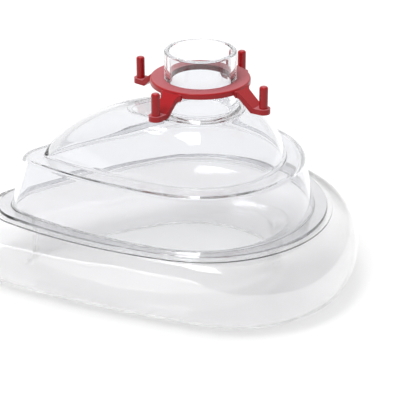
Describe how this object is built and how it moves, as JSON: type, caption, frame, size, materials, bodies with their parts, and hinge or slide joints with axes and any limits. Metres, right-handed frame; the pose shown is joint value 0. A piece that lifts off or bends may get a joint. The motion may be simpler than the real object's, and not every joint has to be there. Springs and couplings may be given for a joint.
{
  "type": "oxygen face mask",
  "caption": "Clear moulded face mask with a stepped dome, a round connector neck, an inflated cushion for the face and a red hook ring for a head harness.",
  "frame": {"origin": "middle of the mask's base, in the plane where the cushion rests", "axes": "+Z along the neck away from the face, +X towards the chin end, -X towards the nose end, the mask is symmetric across the XZ plane apart from the turn of the hook ring"},
  "size_m": [0.1454, 0.113, 0.0865],
  "materials": {
    "clear_shell": "clear glossy moulded plastic, smooth inside and out",
    "clear_cushion": "clear soft film, glossy, very slightly uneven from blowing and heat sealing",
    "red_ring": "red moulded plastic, satin edges, fine matt top face"
  },
  "bodies": {
    "root": {"dome_shell": "clear_shell", "cushion": "clear_cushion", "hook_ring": "red_ring"}
  },
  "joints": []
}
